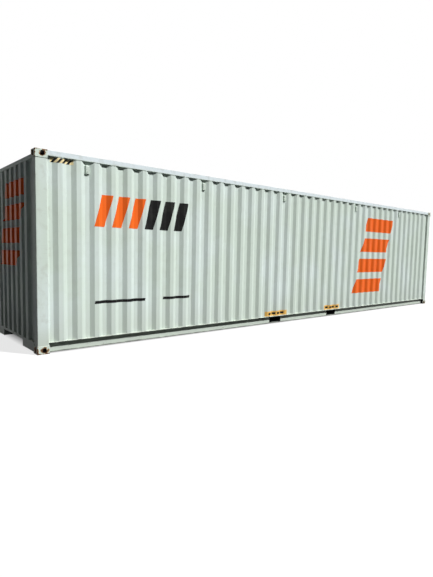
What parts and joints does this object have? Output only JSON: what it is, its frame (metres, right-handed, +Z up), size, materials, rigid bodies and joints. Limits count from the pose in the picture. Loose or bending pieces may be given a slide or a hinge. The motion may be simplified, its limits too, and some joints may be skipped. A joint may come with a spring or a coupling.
{
  "type": "forty-foot high-cube shipping container",
  "caption": "Closed steel freight container with corrugated walls, stamped roof, corner castings, fork pockets, gooseneck tunnel and double end doors with lock bars.",
  "frame": {"origin": "under the middle of the container, on the plane of the bottom castings' feet", "axes": "X along the length with the doors at +X and the blind front end at -X, Y across, Z up"},
  "size_m": [12.192, 2.438, 2.896],
  "materials": {
    "panel_paint": "pale grey marine paint on corrugated steel, satin",
    "frame_paint": "pale grey marine paint on posts, rails and sills, satin",
    "casting_steel": "painted cast steel, rusty at the edges and apertures",
    "underframe_coating": "black underbody coating, matt",
    "galvanised_gear": "hot-dip galvanised steel, dull spangle",
    "seal_rubber": "black extruded rubber seal",
    "floor_plywood": "brown stained plywood boards",
    "ventilator_plastic": "white moulded plastic"
  },
  "bodies": {
    "root": {"bottom_front_left_casting": "casting_steel", "bottom_front_right_casting": "casting_steel", "bottom_rear_left_casting": "casting_steel", "bottom_rear_right_casting": "casting_steel", "cam_keepers": "galvanised_gear", "cross_members": "underframe_coating", "door_gaskets": "seal_rubber", "door_header": "frame_paint", "door_sill": "frame_paint", "floor": "floor_plywood", "fork_pockets": "underframe_coating", "front_header": "frame_paint", "front_left_post": "frame_paint", "front_right_post": "frame_paint", "front_sill": "frame_paint", "front_wall": "panel_paint", "handle_catches": "galvanised_gear", "hinge_blades": "frame_paint", "hinge_lugs": "frame_paint", "hinge_pins": "galvanised_gear", "left_bottom_rail": "frame_paint", "left_door_frame": "frame_paint", "left_door_panel": "panel_paint", "left_lock_bars": "galvanised_gear", "left_side_wall": "panel_paint", "left_top_rail": "frame_paint", "lock_bar_guides": "galvanised_gear", "lock_handles": "galvanised_gear", "rear_left_post": "frame_paint", "rear_right_post": "frame_paint", "right_bottom_rail": "frame_paint", "right_door_frame": "frame_paint", "right_door_panel": "panel_paint", "right_lock_bars": "galvanised_gear", "right_side_wall": "panel_paint", "right_top_rail": "frame_paint", "roof": "panel_paint", "roof_front_plate": "frame_paint", "top_front_left_casting": "casting_steel", "top_front_right_casting": "casting_steel", "top_rear_left_casting": "casting_steel", "top_rear_right_casting": "casting_steel", "tunnel_plate": "underframe_coating", "tunnel_sides": "underframe_coating", "ventilators": "ventilator_plastic"}
  },
  "joints": []
}
